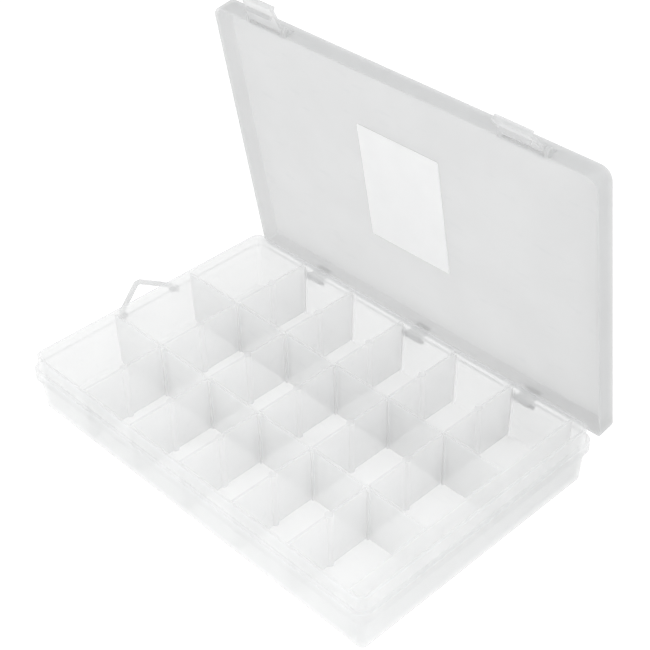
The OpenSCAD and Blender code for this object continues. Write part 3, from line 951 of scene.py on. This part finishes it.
@dataclass
class Latch:
    """A snap latch: barrel, tapered plate, hook and finger lip."""

    lid: Lid
    side: Side
    swing: float  # Angle in degrees from shut
    length: float = 17 * MM  # Length from the pivot to the lip
    thick: float = 1.8 * MM
    tip_width: float = 23 * MM
    barrel: float = 1.9 * MM
    barrel_foot: float = 0.45 * MM  # Depth below the pivot at which the plate's inner face starts
    taper_foot: float = 2 * MM  # Depth below the pivot at which the plate starts to narrow
    ease: float = 0.05 * MM  # Play between the plate and the pivot's plane
    tip_bevel: float = 0.4 * MM  # Bevel of the plate's inner tip
    lip_radius: float = 0.9 * MM  # Half the finger lip's height
    lip_reach: float = 0.7 * MM  # Distance of the lip's rounding in front of the pivot's plane
    lip_top: float = 2.6 * MM  # Height at which the lip runs out into the plate
    lip_swell: float = 0.2 * MM  # How far the plate swells out there
    hook_inset: float = 3 * MM  # How much narrower the hook is than the tip
    hook_root: float = 0.3 * MM  # How deep the hook is sunk into the plate
    hook_reach: float = 4 * MM  # How far the hook reaches behind the pivot's plane
    hook_tip: float = 0.7 * MM  # Height of the hook's end
    hook_height: float = 1.8 * MM  # Height of the hook's root

    def plate(self) -> BMesh:
        """Makes barrel, plate and lip hanging shut, the pivot at the origin and the lid at +Y."""
        wide = self.lid.latch_width
        near, far = self.thick + self.ease, self.ease
        pen = Pen(near, -self.barrel_foot)
        pen.line(near, -self.length + self.tip_bevel)
        pen.line(near - self.tip_bevel, -self.length)
        pen.line(-self.lip_reach, -self.length)
        pen.arc(-self.lip_reach, -self.length + self.lip_radius, -180.0, 6)
        pen.line(far - self.lip_swell, -self.length + self.lip_top)
        pen.line(far, -self.barrel)
        bm = pen.arc(0, 0, -285.0, 18).close()
        raise_outline(bm, wide, -wide / 2)
        taper = 1 - self.tip_width / wide
        for vert in bm.verts:
            if vert.co.y < -self.taper_foot:
                vert.co.z *= 1 + taper * vert.co.y / self.length
        soften(bm, 0.3 * MM, 40.0)
        move(bm, ACROSS)
        return bm

    def hook(self) -> BMesh:
        """Makes the hook that snaps under the tray's flange, its width along Z."""
        s = self.lid.sizes
        root = self.thick + self.ease - self.hook_root
        base = s.flange_top - s.flange_height - s.gap - self.lid.latch_z
        pen = Pen(root, base)
        pen.line(self.hook_reach, base).line(self.hook_reach, base - self.hook_tip)
        bm = pen.line(root, base - self.hook_height).close()
        raise_outline(bm, self.tip_width - self.hook_inset)
        soften(bm, 0.18 * MM, 40.0)
        return bm

    def shape(self) -> BMesh:
        """Joins the plate, the hook and the pivot's pins."""
        lid = self.lid
        bm = self.plate()
        half = (self.tip_width - self.hook_inset) / 2
        merge_into(bm, self.hook(), Matrix.Translation((-half, 0, 0)) @ ACROSS)
        length = lid.latch_width + 2 * (lid.sizes.gap + lid.latch_ear)
        pin_end = Matrix.Translation((-length / 2, 0, 0))
        merge_into(bm, rod(lid.sizes.pin, length), pin_end @ ALONG_X)
        return bm

    def build(self, shelf: Shelf) -> None:
        """Builds the latch as it stands on the open lid."""
        lid = self.lid
        pivot = Matrix.Translation((self.side.value * lid.latch_x, lid.latch_y, lid.latch_z))
        bm = self.shape()
        place = lid.opened() @ pivot @ Matrix.Rotation(-math.radians(self.swing), 4, "X")
        move(bm, place)
        name = "latch_" + self.side.name.lower()
        shelf.place(bm, name, name, SHADE_PAINTED_LATCH_PLASTIC)


@dataclass
class HangLoop:
    """The small swinging loop on the tray's left end."""

    tray: Tray
    tilt: float = 48.0  # Degrees above the level
    reach: float = 15.4 * MM  # Distance from the pivot to the loop's tip
    half: float = 20.4 * MM
    bar: float = 3 * MM
    thick: float = 2 * MM
    arm: float = 4 * MM  # Length of the straight arms beside the pivot
    tip_half: float = 1.75 * MM  # Half the width of the blunt outer tip
    inner_tip_half: float = 1 * MM  # Half the width of the inner tip
    inner_fall: float = 0.75 * MM  # How far the inner tip's corner lies before the outer one's
    boss: float = 1.7 * MM  # Radius of the round boss at each pivot
    pin: float = 0.9 * MM
    pin_out: float = 2.3 * MM  # How far a pin stands out of its arm

    def shape(self) -> BMesh:
        """Makes the loop lying level, its pivot on the Y axis and its tip at -X."""
        half, arm, reach, tip = self.half, self.arm, self.reach, self.tip_half
        slope = math.atan2(reach - arm, half - tip)
        drop = self.bar / math.cos(slope)
        inner, inner_tip = half - self.bar, self.inner_tip_half
        low = reach - drop - (inner - tip) * math.tan(slope)
        high = reach - drop + self.inner_fall * math.tan(slope)
        pen = Pen(0, inner)
        pen.line(0, half).line(-arm, half).line(-reach, tip)
        pen.line(-reach, -tip).line(-arm, -half).line(0, -half)
        pen.line(0, -inner).line(-low, -inner).line(-high, -inner_tip)
        bm = pen.line(-high, inner_tip).line(-low, inner).close()
        raise_outline(bm, self.thick, -self.thick / 2)
        soften(bm, 0.55 * MM, 40.0, 3)
        for sign in (-1, 1):
            turn = Matrix.Rotation(-sign * math.pi / 2, 4, "X")
            lay = Matrix.Translation((0, sign * inner, 0)) @ turn
            merge_into(bm, rod(self.boss, self.bar), lay)
            merge_into(bm, rod(self.pin, self.bar + self.pin_out), lay)
        return bm

    def build(self, shelf: Shelf) -> None:
        """Builds the loop tilted up as it stands."""
        bm = self.shape()
        place = Matrix.Translation((self.tray.loop_x, 0, self.tray.loop_z))
        place = place @ Matrix.Rotation(math.radians(self.tilt), 4, "Y")
        move(bm, place)
        shelf.place(bm, "hang_loop", "hang_loop", SHADE_PAINTED_LATCH_PLASTIC)


# Studio.


@dataclass(frozen=True)
class SoftLamp:
    """A square area lamp."""

    name: str
    place: Triple
    size: float
    power: float  # Its power in watts

    def hang(self, aim: Vector) -> None:
        """Hangs the lamp, turned to a point."""
        lamp = bpy.data.lights.new("lamp_" + self.name, "AREA")
        lamp.shape = "SQUARE"
        lamp.size = self.size
        lamp.energy = self.power
        holder = bpy.data.objects.new("lamp_" + self.name, lamp)
        holder.location = self.place
        turn = (aim - Vector(self.place)).to_track_quat("-Z", "Y")
        holder.rotation_euler = turn.to_euler()
        bpy.context.scene.collection.objects.link(holder)


@dataclass
class Studio:
    """White floor, soft light and the camera at the photograph's angle."""

    # Point at the middle of the picture.
    target: Triple = (-21.8 * MM, 39.4 * MM, 51.3 * MM)
    azimuth: float = 46.521  # Where the camera stands, in degrees round from the front
    elevation: float = 37.554  # How high it looks down from, in degrees
    distance: float = 0.8404
    roll: float = -1.311  # Turn about the camera's line of sight, in degrees
    lens: float = 80.4  # Focal length in millimetres
    aim: Triple = (0.0, 0.03, 0.05)  # The point that the lamps are turned to
    lamps: tuple[SoftLamp, ...] = (
        SoftLamp("key", (-0.1, -0.64, 0.18), 0.4, 1.7),
        SoftLamp("fill", (1.5, -0.7, 0.4), 1.0, 10.5),
        SoftLamp("top", (0.2, 0.1, 1.8), 1.2, 14.5),
    )
    floor_paint: float = 0.86  # Grey of the floor as it lights the box
    floor_glow: float = 0.92  # Strength of the white that the camera sees on the floor
    floor_shade: float = 0.20  # Grey that lets the floor keep a shadow
    sky_colour: Triple = (0.97, 0.985, 1.0)
    sky_strength: float = 0.50

    def floor(self) -> None:
        """Lays a large white floor that keeps a soft shadow."""
        bm = bmesh.new()
        bmesh.ops.create_grid(bm, x_segments=1, y_segments=1, size=6.0)
        mesh = bpy.data.meshes.new("studio_floor_shape")
        bm.to_mesh(mesh)
        bm.free()
        floor = bpy.data.objects.new("studio_floor", mesh)
        floor.location.z = -0.0002
        bpy.context.scene.collection.objects.link(floor)
        material = bpy.data.materials.new("studio floor white")
        bench = NodeBench(material)
        paint = bench.add("BsdfDiffuse", {"Color": (*[self.floor_paint] * 3, 1.0)})[0]
        pale = bench.add("BsdfDiffuse", {"Color": (*[self.floor_shade] * 3, 1.0)})[0]
        glow = bench.add("Emission", {"Color": WHITE, "Strength": self.floor_glow})[0]
        both = bench.add("AddShader", {0: pale, 1: glow})[0]
        bench.add("OutputMaterial", {"Surface": bench.by_ray(paint, both)})
        mesh.materials.append(material)

    def sky(self) -> None:
        """Fills the world with plain soft light and shows it white."""
        world = bpy.data.worlds.new("studio sky")
        bpy.context.scene.world = world
        bench = NodeBench(world)
        light = {"Color": (*self.sky_colour, 1.0), "Strength": self.sky_strength}
        soft = bench.add("Background", light)[0]
        white = bench.add("Background", {"Color": WHITE, "Strength": 1.0})[0]
        bench.add("OutputWorld", {"Surface": bench.by_ray(soft, white)})

    def camera(self) -> None:
        """Sets up the camera where the photograph was taken from."""
        a, e = math.radians(self.azimuth), math.radians(self.elevation)
        back = Vector((math.sin(a) * math.cos(e), -math.cos(a) * math.cos(e), math.sin(e)))
        data = bpy.data.cameras.new("camera")
        data.lens = self.lens
        data.sensor_width = 36.0
        data.clip_start, data.clip_end = 0.01, 50.0
        holder = bpy.data.objects.new("camera", data)
        turn = (-back).to_track_quat("-Z", "Y").to_matrix().to_4x4()
        turn = turn @ Matrix.Rotation(math.radians(self.roll), 4, "Z")
        holder.matrix_world = Matrix.Translation(Vector(self.target) + back * self.distance) @ turn
        bpy.context.scene.collection.objects.link(holder)
        bpy.context.scene.camera = holder

    def build(self) -> None:
        """Builds the whole studio."""
        self.floor()
        self.sky()
        for lamp in self.lamps:
            lamp.hang(Vector(self.aim))
        self.camera()
        bpy.context.scene.view_settings.view_transform = "Standard"


def main() -> None:
    """Builds the box piece by piece, then the studio."""
    logging.basicConfig(level=logging.INFO, format="%(name)s: %(message)s")
    sizes = BoxSizes()
    shelf = Shelf(FINISHES)
    tray = Tray(sizes)
    tray.build(shelf)
    InnerWalls(sizes).build(shelf)
    divider = CrossDivider(sizes)
    for row in Row:
        for number in range(1, 6):
            divider.build(shelf, row, number)
    lid = Lid(sizes)
    lid.build(shelf)
    Latch(lid, Side.LEFT, 75.0).build(shelf)
    Latch(lid, Side.RIGHT, 60.0).build(shelf)
    HangLoop(tray).build(shelf)
    Studio().build()


if __name__ == "__main__":
    main()
